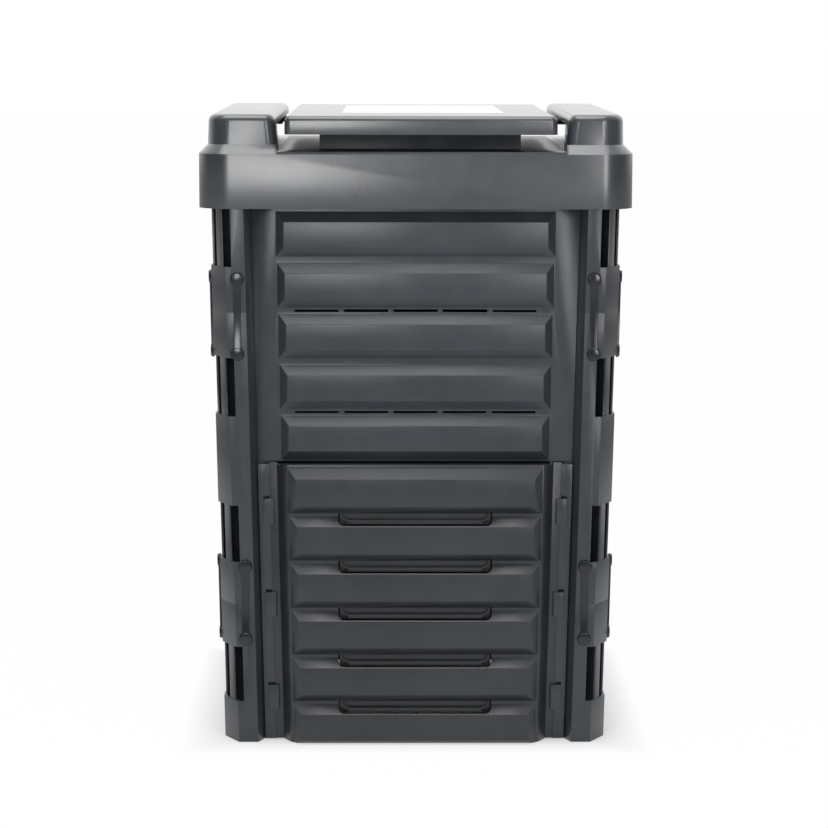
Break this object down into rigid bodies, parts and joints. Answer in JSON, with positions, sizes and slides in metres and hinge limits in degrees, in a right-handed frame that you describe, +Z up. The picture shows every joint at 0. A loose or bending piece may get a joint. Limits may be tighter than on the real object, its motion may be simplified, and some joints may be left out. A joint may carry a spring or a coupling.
{
  "type": "compost bin",
  "caption": "Upright square compost bin of ribbed moulded panels with clipped corners, a sliding front door and a lift-off lid with a hinged flap.",
  "frame": {"origin": "on the ground under the middle of the bin", "axes": "+Z up, -Y to the front door, +X to the right seen from the front"},
  "size_m": [0.61, 0.61, 0.901],
  "materials": {
    "wall_plastic": "satin moulded black",
    "door_plastic": "satin moulded black",
    "clip_plastic": "semi-gloss black",
    "lid_plastic": "semi-gloss moulded black",
    "pin_plastic": "matte black",
    "label_film": "blank white film"
  },
  "bodies": {
    "bin": {"left_wall_lower": "wall_plastic", "left_wall_middle": "wall_plastic", "left_wall_upper": "wall_plastic", "right_wall_lower": "wall_plastic", "right_wall_middle": "wall_plastic", "right_wall_upper": "wall_plastic", "front_upper_panel": "wall_plastic", "front_door_frame": "wall_plastic", "back_upper_panel": "wall_plastic", "back_lower_panel": "wall_plastic", "front_left_clips": "clip_plastic", "front_right_clips": "clip_plastic", "back_left_clips": "clip_plastic", "back_right_clips": "clip_plastic", "left_front_clips": "clip_plastic", "left_back_clips": "clip_plastic", "right_front_clips": "clip_plastic", "right_back_clips": "clip_plastic"},
    "door": {"front_door": "door_plastic"},
    "lid": {"lid_frame": "lid_plastic", "flap_hinge_pin_left": "pin_plastic", "flap_hinge_pin_right": "pin_plastic"},
    "flap": {"lid_flap": "lid_plastic", "flap_label": "label_film"}
  },
  "joints": [
    {"name": "door_slide", "type": "slide", "parent": "bin", "child": "door", "axis": [0, -0.0212, 0.9998], "range_m": [0, 0.18]},
    {"name": "lid_lift", "type": "slide", "parent": "bin", "child": "lid", "axis": [0, 0, 1], "range_m": [0, 0.15]},
    {"name": "flap_hinge", "type": "hinge", "parent": "lid", "child": "flap", "pos_m": [0, 0.281, 0.876], "axis": [-1, 0, 0], "range_deg": [0, 110]}
  ]
}
